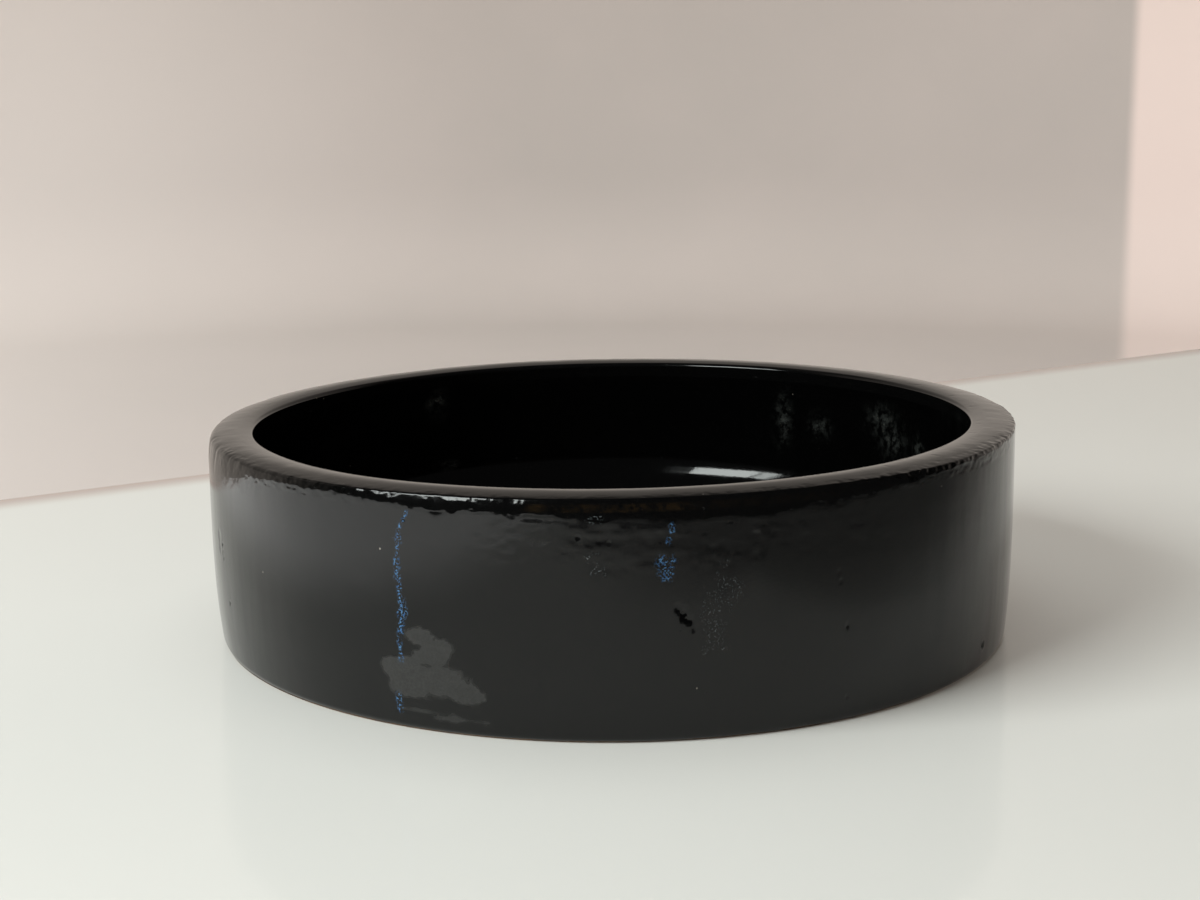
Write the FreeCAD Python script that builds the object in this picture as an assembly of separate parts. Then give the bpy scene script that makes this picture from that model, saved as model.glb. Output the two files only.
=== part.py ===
import FreeCAD, Part
import math
import os

# A wide, low, straight-walled stoneware basin for flower arranging, in millimetres.
# The origin is on the table at the middle of the foot, +Z is up and -Y is the front.
# It is one fired pot, taken apart here by how it was made: clay, slip and glaze coats.

# Whole pot, measured over the glaze
rim_diameter = 270.0
height = 71.5
foot_draw_in = 1.1
foot_edge_round = 2.0
corner_sweep = 19.0

# Rim: a slow shoulder up to a crisp outer edge, a low dome and a round inner edge
shoulder_depth = 4.2
shoulder_turn = 30
outer_edge_round = 0.9
outer_edge_fall = 0.8
inner_edge_round = 1.5
inner_edge_fall = 0.5
crest_set_out = 6.5

# Clay
wall_thickness = 13.4
slab_thickness = 12.5
inner_edge_bevel = 0.7
foot_bevel = 1.2
corner_coil_leg = 10.0
slip_thickness = 0.4

# Turned recess that leaves the foot
foot_width = 18.0
recess_depth = 2.5
recess_bevel = 1.5

# Glaze coats
wall_coat = 0.8
floor_coat = 1.5
bare_foot = 0.8

# Rim dip: a second coat whose lower edge has run down unevenly
dip_depth_outside = 5.0
dip_depth_inside = 6.0
run_radius = 20.0
run_spacing = 70.0
run_drop = 4.5
run_drop_shares = (0.2, 0.1, 0.3, 1.0, 0.15, 0.25, 0.5)
run_step_shares = (1.0, 0.8, 1.15, 0.9, 1.1)

# Burst bubble in the front of the outer coat: craters that run into one another,
# each at its share of the half length across and up from the middle
burst_bearing = 8.1
burst_height = 35.1
burst_crater_radius = 2.0
burst_half_length = 2.2
burst_shares = ((-0.8, 1.0), (0.1, 0.1), (0.8, -1.0))

# Straight steps that each curve is turned in
shoulder_steps = 2
outer_edge_steps = 1
dome_steps = 2
inner_edge_steps = 2
foot_edge_steps = 1
sweep_steps = 4

# How far every cutting tool runs past what it cuts
overrun = 5.0

UP = FreeCAD.Vector(0, 0, 1)
AXIS = FreeCAD.Vector(0, 0, 0)

rim_radius = rim_diameter / 2
floor_top = slab_thickness + floor_coat
tool_top = height + overrun
tool_radius = rim_radius + overrun

# The shoulder's curve ends where the outer edge's rounding starts
shoulder_low = height - shoulder_depth
shoulder_rise = shoulder_depth - outer_edge_fall - outer_edge_round
shoulder_radius = outer_edge_round + shoulder_rise / math.sin(math.radians(shoulder_turn))


def outside_radius(z, skin):
    """Radius of the tapering outside at a height, this far out from the clay."""
    return rim_radius - foot_draw_in * (height - z) / height - wall_coat + skin


def inside_radius(skin):
    """Radius of the upright inside, this far in from the clay."""
    return rim_radius - wall_coat - wall_thickness - skin


def turned(corners):
    """Solid of revolution from the corners of its half section, anticlockwise."""
    places = [FreeCAD.Vector(x, 0, z) for x, z in corners + corners[:1]]
    return Part.Face(Part.makePolygon(places)).revolve(AXIS, UP, 360)


def disc(radius, low, high):
    """Round block about the axis between two heights."""
    return Part.makeCylinder(radius, high - low, FreeCAD.Vector(0, 0, low))


def arc(centre_x, centre_z, radius, start, end, steps):
    """Evenly spaced corners round an arc of a half section, angles in degrees."""
    corners = []
    for step in range(steps + 1):
        turn = math.radians(start + (end - start) * step / steps)
        x = centre_x + radius * math.cos(turn)
        z = centre_z + radius * math.sin(turn)
        corners.append((x, z))
    return corners


def foot_edge(skin, size, steps):
    """Corners of the lower outer edge, beveled in one step or rounded in several."""
    return arc(outside_radius(size, skin) - size, size, size, -90, 0, steps)


def outer_edge_centre():
    """Middle of the rounding at the rim's outer edge."""
    turn = math.radians(shoulder_turn)
    set_in = shoulder_radius * (1 - math.cos(turn)) + outer_edge_round * math.cos(turn)
    z = height - outer_edge_fall - outer_edge_round
    return outside_radius(shoulder_low, wall_coat) - set_in, z


def shoulder():
    """Corners of the slow curve in from the wall, and round the crisp outer edge."""
    x = outside_radius(shoulder_low, wall_coat) - shoulder_radius
    corners = arc(x, shoulder_low, shoulder_radius, 0, shoulder_turn, shoulder_steps)
    x, z = outer_edge_centre()
    return corners + arc(x, z, outer_edge_round, shoulder_turn, 90, outer_edge_steps)[1:]


def inner_rim_edge(skin, size, steps):
    """Corners of the rim's inner edge, from the dome down to the inside."""
    low = height - inner_edge_fall - wall_coat + skin - size
    return arc(inside_radius(skin) + size, low, size, 90, 180, steps)


def dome(start, end, fall, skin, steps):
    """Corners from the crest towards an edge of the rim, short of the edge itself."""
    corners = []
    for step in range(steps):
        share = step / steps
        z = height - wall_coat + skin - fall * share**2
        corners.append((start + (end - start) * share, z))
    return corners


def dome_over(skin, steps):
    """Corners over the rim's low dome, from the outer edge to the inner one."""
    crest = inside_radius(wall_coat) + crest_set_out
    outer_end, _ = outer_edge_centre()
    inner_end = inside_radius(wall_coat) + inner_edge_round
    outer_half = dome(crest, outer_end, outer_edge_fall, skin, steps)
    inner_half = dome(crest, inner_end, inner_edge_fall, skin, steps)
    return outer_half[:0:-1] + inner_half


def clay_rim():
    """Corners of the clay under the rim's coats."""
    low = shoulder_low
    x, _ = outer_edge_centre()
    corners = [(outside_radius(low, 0), low), (x, height - outer_edge_fall - wall_coat)]
    return corners + dome_over(0, 1) + inner_rim_edge(0, inner_edge_bevel, 1)


def sweep():
    """Corners from the wall down round the glazed inside corner to the floor."""
    centre_x = inside_radius(wall_coat) - corner_sweep
    centre_z = floor_top + corner_sweep
    return arc(centre_x, centre_z, corner_sweep, 0, -90, sweep_steps)


def clay_body():
    """Slab and wall as one body, with a sharp inside corner."""
    corners = [(0, 0)] + foot_edge(0, foot_bevel, 1) + clay_rim()
    corners += [(inside_radius(0), slab_thickness), (0, slab_thickness)]
    return turned(corners).cut(recess())


def glazed_body():
    """The whole pot out to the faces of its glaze."""
    corners = [(0, 0)] + foot_edge(wall_coat, foot_edge_round, foot_edge_steps)
    corners += shoulder() + dome_over(wall_coat, dome_steps)
    corners += inner_rim_edge(wall_coat, inner_edge_round, inner_edge_steps)
    return turned(corners + sweep() + [(0, floor_top)])


def recess():
    """The space turned out under the slab, which leaves the foot."""
    radius = outside_radius(0, 0) - foot_width
    corners = [(0, -overrun), (radius + recess_bevel, -overrun), (radius + recess_bevel, 0)]
    corners += [(radius, recess_bevel), (radius, recess_depth), (0, recess_depth)]
    return turned(corners)


def coil():
    """Clay coil pressed into the corner between the slab and the wall."""
    low = slab_thickness
    wall = inside_radius(0)
    return turned([(wall - corner_coil_leg, low), (wall, low), (wall, low + corner_coil_leg)])


def outer_side():
    """Everything outside the middle of the wall."""
    middle = inside_radius(0) + wall_thickness / 2
    return disc(tool_radius, 0, tool_top).cut(disc(middle, -overrun, tool_top + overrun))


def floor_flat():
    """Radius of the flat of the floor, where the sweep up into the wall starts."""
    return inside_radius(wall_coat) - corner_sweep


def liner():
    """Coat over the coil and the inside of the wall, up to the rim dip."""
    low = slab_thickness
    edge = height - dip_depth_inside
    wall = inside_radius(0)
    corners = [(floor_flat(), low), (wall - corner_coil_leg, low)]
    corners += [(wall, low + corner_coil_leg), (wall, edge), (wall - wall_coat, edge)]
    return turned(corners + sweep())


def around(bearing, radius, z):
    """A place at a bearing in degrees from the front, turning towards the right."""
    turn = math.radians(bearing)
    return FreeCAD.Vector(radius * math.sin(turn), -radius * math.cos(turn), z)


def dip_runs():
    """Round-ended tongues where the rim dip has crept further down the outside."""
    tongues = []
    bearing = 0.0
    while bearing < 360:
        count = len(tongues)
        drop = run_drop * run_drop_shares[count % len(run_drop_shares)]
        centre_z = height - dip_depth_outside - drop + run_radius
        start = around(bearing, rim_radius - wall_thickness / 2, centre_z)
        outward = around(bearing, rim_radius, 0)
        tongues.append(Part.makeCylinder(run_radius, wall_thickness, start, outward))
        step = run_spacing * run_step_shares[count % len(run_step_shares)]
        bearing += math.degrees(step / rim_radius)
    return tongues


def dip_reach():
    """Everything that the rim dip covers, with its uneven lower edge outside."""
    outside = disc(tool_radius, height - dip_depth_outside, tool_top).common(outer_side())
    inside = disc(tool_radius, height - dip_depth_inside, tool_top).cut(outer_side())
    return outside.fuse([inside] + dip_runs())


def craters():
    """Round cutters for the burst bubble in the outer coat."""
    tools = []
    for across_share, up_share in burst_shares:
        z = burst_height + burst_half_length * up_share
        shift = math.degrees(burst_half_length * across_share / rim_radius)
        centre = around(burst_bearing + shift, outside_radius(z, wall_coat), z)
        tools.append(Part.makeSphere(burst_crater_radius, centre))
    return tools


def build():
    """Every piece of the pot by name."""
    clay = clay_body()
    slip = disc(tool_radius, slab_thickness, slab_thickness + slip_thickness)
    halves = clay.cut(slip).Solids
    base_slab, wall_ring = sorted(halves, key=lambda solid: solid.BoundBox.ZMin)

    coats = glazed_body().cut([clay, disc(tool_radius, -overrun, bare_foot)])
    dip = dip_reach()
    outer_coat = coats.common(outer_side())
    return {
        "base_slab": base_slab,
        "wall_ring": wall_ring,
        "joint_slip": clay.common(slip),
        "corner_coil": coil(),
        "outer_glaze": outer_coat.cut([dip] + craters()),
        "rim_glaze": coats.common(dip),
        "liner_glaze": liner(),
        "floor_glaze": disc(floor_flat(), slab_thickness, floor_top),
    }


def export(pieces):
    """Writes one file per piece and says how large each is."""
    os.makedirs("parts", exist_ok=True)
    for name, shape in pieces.items():
        whole = Part.makeCompound(shape.Solids)
        whole.exportStep(f"parts/{name}.step")
        box = whole.optimalBoundingBox()
        size = f"{box.XLength:.1f} x {box.YLength:.1f} x {box.ZLength:.1f}"
        print(name, len(whole.Solids), whole.isValid(), f"{whole.Volume:.1f}", size)


export(build())
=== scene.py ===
"""Looks of a wide, low stoneware basin for flower arranging, in black glaze, round its CAD frame.

Sizes here are in millimetres and bearings in degrees from the front, turning towards the
right. Meshes are made in metres, in the frame's own place.
"""

import math
from itertools import product

import bpy
import numpy as np
from mathutils import Matrix, Vector


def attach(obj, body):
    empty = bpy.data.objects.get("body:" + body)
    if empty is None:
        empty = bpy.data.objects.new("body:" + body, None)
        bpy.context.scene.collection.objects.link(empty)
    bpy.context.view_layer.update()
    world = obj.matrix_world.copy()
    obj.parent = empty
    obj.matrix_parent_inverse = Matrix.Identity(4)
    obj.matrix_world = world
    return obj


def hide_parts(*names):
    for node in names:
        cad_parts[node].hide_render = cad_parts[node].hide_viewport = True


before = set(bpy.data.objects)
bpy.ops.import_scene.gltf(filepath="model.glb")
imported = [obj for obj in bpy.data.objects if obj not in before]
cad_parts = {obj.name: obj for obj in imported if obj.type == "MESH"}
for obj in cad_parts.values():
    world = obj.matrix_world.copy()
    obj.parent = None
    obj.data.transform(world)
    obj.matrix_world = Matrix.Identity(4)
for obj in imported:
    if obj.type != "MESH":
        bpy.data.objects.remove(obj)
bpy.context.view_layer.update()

MM = 0.001

# Sizes of the pot, those of its CAD pieces or within a millimetre of them
RIM_RADIUS = 134.9
BELLY_RADIUS = 134.85
FOOT_DRAW_IN = 1.9
HEIGHT = 71.5
INSIDE_RADIUS = 120.0
FLOOR_TOP = 14.0
CORNER_SWEEP = 19.0
WALL_COAT = 0.8
SLAB_TOP = 12.5
SLIP_TOP = 12.9
BARE_FOOT = 0.5
FOOT_ROUND = 2.0
FOOT_BEVEL = 0.5
FOOT_WIDTH = 18.0
RECESS_DEPTH = 2.5
RECESS_BEVEL = 1.5
DIP_DEPTH_INSIDE = 6.0

# The rim leans: mean height of its crest, and how much more it has on the right and in front
CREST_MEAN = 70.05
LEAN_RIGHT = 1.1
LEAN_FRONT = 0.8

# Outside wall: widest at this height, and drawn in a little at the rim. Its foot stands this
# far to the right of the rim.
BELLY_HEIGHT = 45.0
RIM_DRAW_IN = 0.25
FOOT_SHIFT = 0.4

# Rim section: a shoulder that turns up slowly, less on the left, the outer edge, a low dome
# whose crest lies this far out from the inside wall, and the inner edge
SHOULDER_TURN = 22.2
LEFT_SHOULDER_TURN = 12.5
CREST_OUT = 6.5
OUTER_FALL = 0.8
INNER_FALL = 0.6
DOME_END = math.radians(13)
INNER_ROUND = 1.5

# Columns round the pot, closer together in front. One in so many goes on over the floor,
# and one in so many is in the clay.
COLUMNS = 1280
FRONT_CLOSENESS = 0.5
FLOOR_SHARE = 4
CLAY_SHARE = 5

# Rows of points in each part of the half section. Those of the outside lie closer together
# at both ends, and the floor's last is a small ring round its middle.
OUTER_ROWS = 112
END_CLOSENESS = 0.7
OUTER_BACK_ROWS = 8
SHOULDER_ROWS = 34
OUTER_EDGE_ROWS = 11
OUTER_DOME_ROWS = 19
INNER_DOME_ROWS = 14
INNER_EDGE_ROWS = 14
DIP_INSIDE_ROWS = 7
WALL_ROWS = 44
SWEEP_ROWS = 30
FLOOR_ROWS = 44
FLOOR_MIDDLE = 1.5


# Noise and windows


def noise(points, size, seed):
    """Smooth value noise from -1 to 1 over points, with lumps of about this size."""
    cells = 32
    lattice = np.random.default_rng(seed).uniform(-1, 1, (cells,) * 3)
    scaled = points / size + 0.37 * seed
    base = np.floor(scaled).astype(int)
    part = scaled - base
    part = part * part * (3 - 2 * part)
    total = np.zeros(points.shape[:-1])
    for corner in product((0, 1), repeat=3):
        weight = np.ones(points.shape[:-1])
        for axis in range(3):
            share = part[..., axis]
            weight = weight * (share if corner[axis] else 1 - share)
        index = (base + corner) % cells
        total += weight * lattice[index[..., 0], index[..., 1], index[..., 2]]
    return total


def smooth_step(value, low, high):
    """0 below low, 1 above high, and a smooth rise between them."""
    share = np.clip((value - low) / (high - low), 0, 1)
    return share * share * (3 - 2 * share)


def window(value, low, high, soft):
    """1 between low and high, falling to 0 over soft on each side."""
    return smooth_step(value, low - soft, low) * (1 - smooth_step(value, high, high + soft))


def hump(offset, half_width):
    """Bell of height 1 with about this half width."""
    return np.exp(-((offset / half_width) ** 2))


# The pot's surface

steps = np.linspace(0, 2 * math.pi, COLUMNS, endpoint=False)
turn = steps - FRONT_CLOSENESS * np.sin(steps)
bearing = np.degrees(np.where(turn > math.pi, turn - 2 * math.pi, turn))
round_ring = np.stack([np.sin(turn), -np.cos(turn), np.zeros(COLUMNS)], axis=-1)


def outside(z):
    """Radius of the outside wall at a height."""
    below = np.clip(BELLY_HEIGHT - z, 0, None) / BELLY_HEIGHT
    above = np.clip(z - BELLY_HEIGHT, 0, None) / (HEIGHT - BELLY_HEIGHT)
    return BELLY_RADIUS - FOOT_DRAW_IN * below**3 - RIM_DRAW_IN * above**2


def rim_height(radius):
    """Height of the plane through the rim's crest in each column, at a radius."""
    lean = LEAN_RIGHT * np.sin(turn) + LEAN_FRONT * np.cos(turn)
    return CREST_MEAN + lean * radius / RIM_RADIUS


# Shoulder round the pot: bearing, its depth below the crest, and the outer edge's radius
SHOULDER = (
    (-180, 3.6, 1.6),
    (-130, 3.6, 2.2),
    (-105, 5.0, 2.4),
    (-82, 8.4, 2.4),
    (-72, 10.2, 2.4),
    (-66, 9.0, 2.5),
    (-60, 7.0, 2.4),
    (-54, 4.8, 2.0),
    (-46, 3.8, 1.5),
    (-38, 3.4, 1.0),
    (-32, 3.8, 0.8),
    (-26, 5.6, 0.8),
    (-18, 6.0, 0.8),
    (-13, 5.6, 0.8),
    (-6, 5.9, 0.8),
    (0, 6.8, 0.8),
    (5, 7.6, 0.8),
    (12, 7.5, 0.8),
    (20, 7.7, 0.8),
    (27, 7.3, 0.8),
    (34, 6.1, 0.8),
    (38, 4.6, 0.7),
    (42, 3.6, 0.6),
    (48, 2.6, 0.6),
    (70, 2.2, 0.6),
    (110, 2.7, 0.9),
    (150, 3.8, 1.4),
    (180, 3.6, 1.6),
)

# Tongues of the rim's second coat: bearing, how far each hangs down, and its half width
TONGUES = (
    (-76.0, 1.4, 1.6),
    (-69.5, 1.6, 1.8),
    (-62.0, 0.9, 1.5),
    (-31.5, 0.6, 1.8),
    (-21.5, 1.9, 3.0),
    (-19.3, 0.9, 1.6),
    (-12.0, 1.3, 1.9),
    (-1.7, 1.6, 2.8),
    (18.5, 0.8, 4.0),
    (27.0, 0.6, 4.5),
    (96.0, 1.6, 7.0),
    (133.0, 1.2, 6.0),
    (178.0, 2.0, 9.0),
    (-142.0, 1.5, 7.0),
    (-108.0, 1.8, 7.0),
)


def round_the_pot(number):
    """One number of the shoulder's table, in every column."""
    return np.interp(bearing, [row[0] for row in SHOULDER], [row[number] for row in SHOULDER])


def shoulder_low():
    """Height at which the shoulder starts to turn in, in each column."""
    ring = round_ring * RIM_RADIUS
    ragged = 0.30 * noise(ring, 7.0, 3) + 0.28 * noise(ring, 3.0, 4) + 0.16 * noise(ring, 1.3, 5)
    depth = round_the_pot(1) * (1 + 0.10 * noise(ring, 11.0, 6)) - ragged
    for place, drop, half_width in TONGUES:
        away = (bearing - place + 180) % 360 - 180
        depth += drop * hump(np.radians(away) * RIM_RADIUS, half_width)
    return rim_height(RIM_RADIUS) - np.maximum(depth, 1.9)


def shoulder_turn():
    """Angle in radians that the shoulder turns in by, in each column."""
    left = window(bearing, -95, -60, 14)
    return np.radians(SHOULDER_TURN + (LEFT_SHOULDER_TURN - SHOULDER_TURN) * left)


def rows(radii, heights):
    """Rows of points from one radius and height for each row, or for each row and column."""
    radii, heights = np.broadcast_arrays(radii, heights)
    points = radii[..., None] * round_ring
    points[..., 2] = heights
    return points


def fine_ends(count):
    """Shares from 0 to 1 that lie closer together at both ends."""
    even = np.linspace(0, 1, count)
    eased = (1 - np.cos(math.pi * even)) / 2
    return (1 - END_CLOSENESS) * even + END_CLOSENESS * eased


def column(values):
    """A list of numbers as one column, to be combined with the ring's columns."""
    return np.asarray(values)[:, None]


def outer_rows():
    """Outside wall, from the bare clay of the foot up to the shoulder."""
    ring = round_ring * RIM_RADIUS
    low = BARE_FOOT + 0.25 * noise(ring, 9.0, 11) + 0.1 * noise(ring, 3.0, 12)
    heights = low + (shoulder_low() - low) * column(fine_ends(OUTER_ROWS))
    short = np.clip(FOOT_ROUND - heights, 0, None)
    draw = FOOT_ROUND - np.sqrt(FOOT_ROUND**2 - short**2)
    shift = FOOT_SHIFT * np.sin(turn) * (1 - heights / HEIGHT) ** 3
    return rows(outside(heights) - draw + shift, heights)


def rim_rows():
    """Shoulder, edges and dome of the rim, and a little way down the inside."""
    low = shoulder_low()
    edge_round = round_the_pot(2)
    turned_in = shoulder_turn()
    crest = INSIDE_RADIUS + CREST_OUT
    edge_rise = edge_round * (math.cos(DOME_END) - np.sin(turned_in))
    rise = rim_height(crest) - OUTER_FALL - edge_rise - low
    curve = rise / np.sin(turned_in)

    angles = turned_in * column(np.linspace(0, 1, SHOULDER_ROWS))
    shoulder = rows(outside(low) - curve * (1 - np.cos(angles)), low + curve * np.sin(angles))
    edge_middle = outside(low) - curve * (1 - np.cos(turned_in))
    edge_middle = edge_middle - edge_round * np.cos(turned_in)
    edge_base = low + rise - edge_round * np.sin(turned_in)
    share = column(np.linspace(0, 1, OUTER_EDGE_ROWS)[1:])
    angles = turned_in + (math.pi / 2 - DOME_END - turned_in) * share
    edge = rows(edge_middle + edge_round * np.cos(angles), edge_base + edge_round * np.sin(angles))

    share = column(np.linspace(1, 0, OUTER_DOME_ROWS)[1:])
    edge_end = edge_middle + edge_round * math.sin(DOME_END)
    outer_half = rows(
        crest + (edge_end - crest) * share, rim_height(crest) - OUTER_FALL * share**2
    )
    share = column(np.linspace(0, 1, INNER_DOME_ROWS)[1:])
    inner_end = INSIDE_RADIUS + INNER_ROUND * (1 - math.sin(DOME_END))
    inner_half = rows(
        crest + (inner_end - crest) * share, rim_height(crest) - INNER_FALL * share**2
    )
    angles = column(np.linspace(DOME_END, math.pi / 2, INNER_EDGE_ROWS)[1:])
    base = rim_height(crest) - INNER_FALL - INNER_ROUND * math.cos(DOME_END)
    inner = rows(
        INSIDE_RADIUS + INNER_ROUND * (1 - np.sin(angles)), base + INNER_ROUND * np.cos(angles)
    )
    low_inside = rim_height(INSIDE_RADIUS) - DIP_DEPTH_INSIDE
    share = column(np.linspace(0, 1, DIP_INSIDE_ROWS)[1:])
    last = rows(INSIDE_RADIUS, base + (low_inside - base) * share)
    return np.concatenate([shoulder, edge, outer_half, inner_half, inner, last])


def liner_rows(top):
    """Inside wall and the sweep into the floor, from the given top row down."""
    sweep_top = FLOOR_TOP + CORNER_SWEEP
    heights = top + (sweep_top - top) * column(np.linspace(0, 1, WALL_ROWS))
    wall = rows(INSIDE_RADIUS, heights)
    angles = column(np.radians(np.linspace(0, 90, SWEEP_ROWS)[1:]))
    centre = INSIDE_RADIUS - CORNER_SWEEP
    sweep = rows(
        centre + CORNER_SWEEP * np.cos(angles), sweep_top - CORNER_SWEEP * np.sin(angles)
    )
    return np.concatenate([wall, sweep])


def floor_rows(edge):
    """Floor, from the foot of the sweep to near the middle."""
    radii = edge - (edge - FLOOR_MIDDLE) * column(np.linspace(0, 1, FLOOR_ROWS))
    return rows(radii, FLOOR_TOP)


def surface():
    """The whole glazed surface as one grid, and the row at which each coat starts."""
    outer = outer_rows()
    rim = rim_rows()
    liner = liner_rows(rim[-1, :, 2])
    floor = floor_rows(INSIDE_RADIUS - CORNER_SWEEP)
    parts = [outer, rim[1:], liner[1:], floor[1:]]
    ends = np.cumsum([len(part) for part in parts])
    return np.concatenate(parts), ends


def normals_of(points):
    """Unit normals of a grid whose columns close round the pot."""
    down = np.gradient(points, axis=0)
    along = np.roll(points, -1, axis=1) - np.roll(points, 1, axis=1)
    normals = np.cross(along, down)
    length = np.linalg.norm(normals, axis=-1, keepdims=True)
    return normals / np.maximum(length, 1e-9)


grid, coat_ends = surface()
OUTER_END, RIM_END, LINER_END, FLOOR_END = coat_ends

row_number = np.arange(len(grid))[:, None]
on_rim = (row_number >= OUTER_END) & (row_number < RIM_END)
inside_pot = row_number >= RIM_END
level = grid[..., 2]
reach = np.hypot(grid[..., 0], grid[..., 1])
below_rim = rim_height(RIM_RADIUS) - level
facing = np.broadcast_to(bearing, level.shape)


def across(place):
    """Distance round the outside from a bearing, in every column."""
    away = (facing - place + 180) % 360 - 180
    return np.radians(away) * RIM_RADIUS


def crater(place, height, radius, depth):
    """A small round pit with a raised lip in the outside wall."""
    distance = np.hypot(across(place), level - height) / radius
    bowl = -depth * np.clip(1 - distance**2, 0, None) ** 0.7
    raised = 0.25 * depth * hump(distance - 1.15, 0.28)
    return np.where(reach > INSIDE_RADIUS + 5, bowl + raised, 0)


# Burst bubble: bearing, height, radius and depth of its joined craters
BURST = (
    (7.3, 39.2, 1.2, 0.45),
    (7.9, 38.3, 1.6, 0.65),
    (8.0, 36.9, 1.6, 0.60),
    (8.6, 35.7, 1.3, 0.70),
    (9.0, 34.1, 0.7, 0.40),
    (9.1, 33.1, 0.6, 0.35),
)

# Pinholes in the outside: bearing, height, radius and depth
PINHOLES = (
    (-25.8, 62.0, 0.6, 0.20),
    (-4.3, 59.7, 0.7, 0.28),
    (-0.7, 58.1, 0.5, 0.20),
    (20.4, 21.7, 0.8, 0.12),
    (27.8, 45.2, 0.8, 0.14),
    (28.1, 42.7, 0.6, 0.26),
    (29.2, 29.2, 0.8, 0.36),
    (29.6, 7.5, 0.7, 0.30),
    (58.5, 8.1, 1.3, 0.50),
    (-63.9, 20.5, 0.8, 0.30),
    (-67.4, 40.6, 2.4, 0.12),
    (-67.2, 37.0, 2.2, 0.12),
    (-65.9, 38.4, 0.8, 0.34),
    (-65.7, 36.4, 0.7, 0.30),
    (-65.4, 34.4, 0.6, 0.25),
    (103.0, 22.0, 1.0, 0.35),
    (141.0, 49.0, 0.8, 0.30),
    (171.0, 31.0, 1.3, 0.40),
    (-158.0, 15.0, 0.9, 0.30),
    (-121.0, 52.0, 0.8, 0.30),
    (-96.0, 27.0, 1.0, 0.35),
)


def relief():
    """How far the glaze stands out of its smooth surface at every point of the grid."""
    height = 0.10 * noise(grid, 42.0, 21) + 0.014 * noise(grid * (1, 1, 3.0), 14.0, 22)
    sides = 0.35 + 0.65 * smooth_step(np.abs(facing), 25, 60)
    combed = 0.032 * noise(grid * (1, 1, 0.12), 5.0, 25)
    combed += 0.012 * noise(grid * (1, 1, 0.15), 2.2, 26)
    height += combed * sides * (reach > INSIDE_RADIUS + 5)
    height += 0.007 * noise(grid, 4.5, 23) + 0.003 * noise(grid, 1.8, 24)

    # Ripples where the second coat has crept, below the front of the rim
    ripple = window(facing, -8, 30, 12) * window(level, 53, 66, 5) * (reach > RIM_RADIUS - 3)
    height += ripple * 0.065 * noise(grid * (1, 1, 2.2), 6.0, 31)
    height += ripple * 0.042 * noise(grid * (1, 1, 1.6), 2.4, 32)

    # Lumps of thick glaze on the shoulder, finest where it stands over the front
    shoulder = window(below_rim, 0.9, 4.6, 1.0) * (reach > RIM_RADIUS - 4)
    rough = 0.45 + 0.55 * window(np.abs(facing), 22, 62, 14)
    lumps = 0.06 * noise(grid, 4.0, 41) + 0.06 * noise(grid, 2.0, 42)
    lumps += 0.045 * noise(grid, 1.0, 43)
    height += shoulder * rough * lumps

    # Brush-like marks over the left of the rim's edge and down its shoulder
    brush = window(facing, -88, -54, 7) * window(below_rim, 0.0, 9, 2.0)
    brush = brush * smooth_step(reach, RIM_RADIUS - 8, RIM_RADIUS - 2)
    slant = grid + np.stack([0 * level, 0.5 * level, 0 * level], axis=-1)
    comb = slant * (1, 1, 0.08)
    height += brush * (0.016 * noise(comb, 1.6, 51) + 0.014 * noise(comb, 0.8, 52))

    # Torn edge round the right of the rim, and short dents across the dome beside it
    torn = window(facing, 34, 100, 8) * hump(below_rim - 1.5, 0.8)
    torn = torn * (reach > RIM_RADIUS - 3)
    height += torn * (0.20 * noise(grid, 1.8, 61) + 0.14 * noise(grid, 1.0, 62))
    dented = window(facing, 30, 130, 12) * on_rim * (reach > INSIDE_RADIUS + 2)
    dents = noise(np.stack([facing * 2.2, reach * 0.35, 0 * level], axis=-1), 1.6, 63)
    height -= dented * 0.05 * smooth_step(dents, 0.50, 0.85)
    height += dented * 0.02 * noise(grid, 7.0, 64)

    # Throwing rings inside, and the turned spiral of the floor
    rings = np.sin(level / 3.1 * 2 * math.pi + np.radians(facing) + noise(grid, 40.0, 71))
    inside = inside_pot & (reach > INSIDE_RADIUS - 6)
    height += inside * 0.005 * rings
    spiral = np.sin(reach / 5.5 * 2 * math.pi + np.radians(facing) + noise(grid, 50.0, 72))
    on_floor = inside_pot & (reach <= INSIDE_RADIUS - 6)
    height += on_floor * 0.03 * spiral * smooth_step(reach, 4, 16)

    for place in BURST + PINHOLES:
        height += crater(*place)
    return height


# The relief fades out at the foot, and the glaze stays within the pot's radius and height
height_field = relief()
fade = np.ones(len(grid))
fade[:4] = (0.0, 0.3, 0.6, 0.9)
height_field = np.minimum(height_field * fade[:, None], 0.9)
glaze_face = grid + normals_of(grid) * height_field[..., None]
limit = RIM_RADIUS - 0.01
stretch = np.hypot(glaze_face[..., 0], glaze_face[..., 1])
glaze_face[..., :2] *= np.minimum(1, limit / np.maximum(stretch, 1e-6))[..., None]
glaze_face[..., 2] = np.minimum(glaze_face[..., 2], HEIGHT - 0.02)


# Masks for the glaze


def patch(places, ragged, size, seed, soft=0.22):
    """Mask of ovals with a torn outline: bearing, height, half width and half height each."""
    torn = ragged * (noise(grid, size, seed) + 0.5 * noise(grid, size / 2.7, seed + 1))
    mask = np.zeros(level.shape)
    for place, height, half_width, half_height in places:
        distance = np.hypot(across(place) / half_width, (level - height) / half_height)
        mask = np.maximum(mask, 1 - smooth_step(distance + torn, 1.08 - soft, 1.08))
    return mask * (reach > INSIDE_RADIUS + 5)


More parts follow.
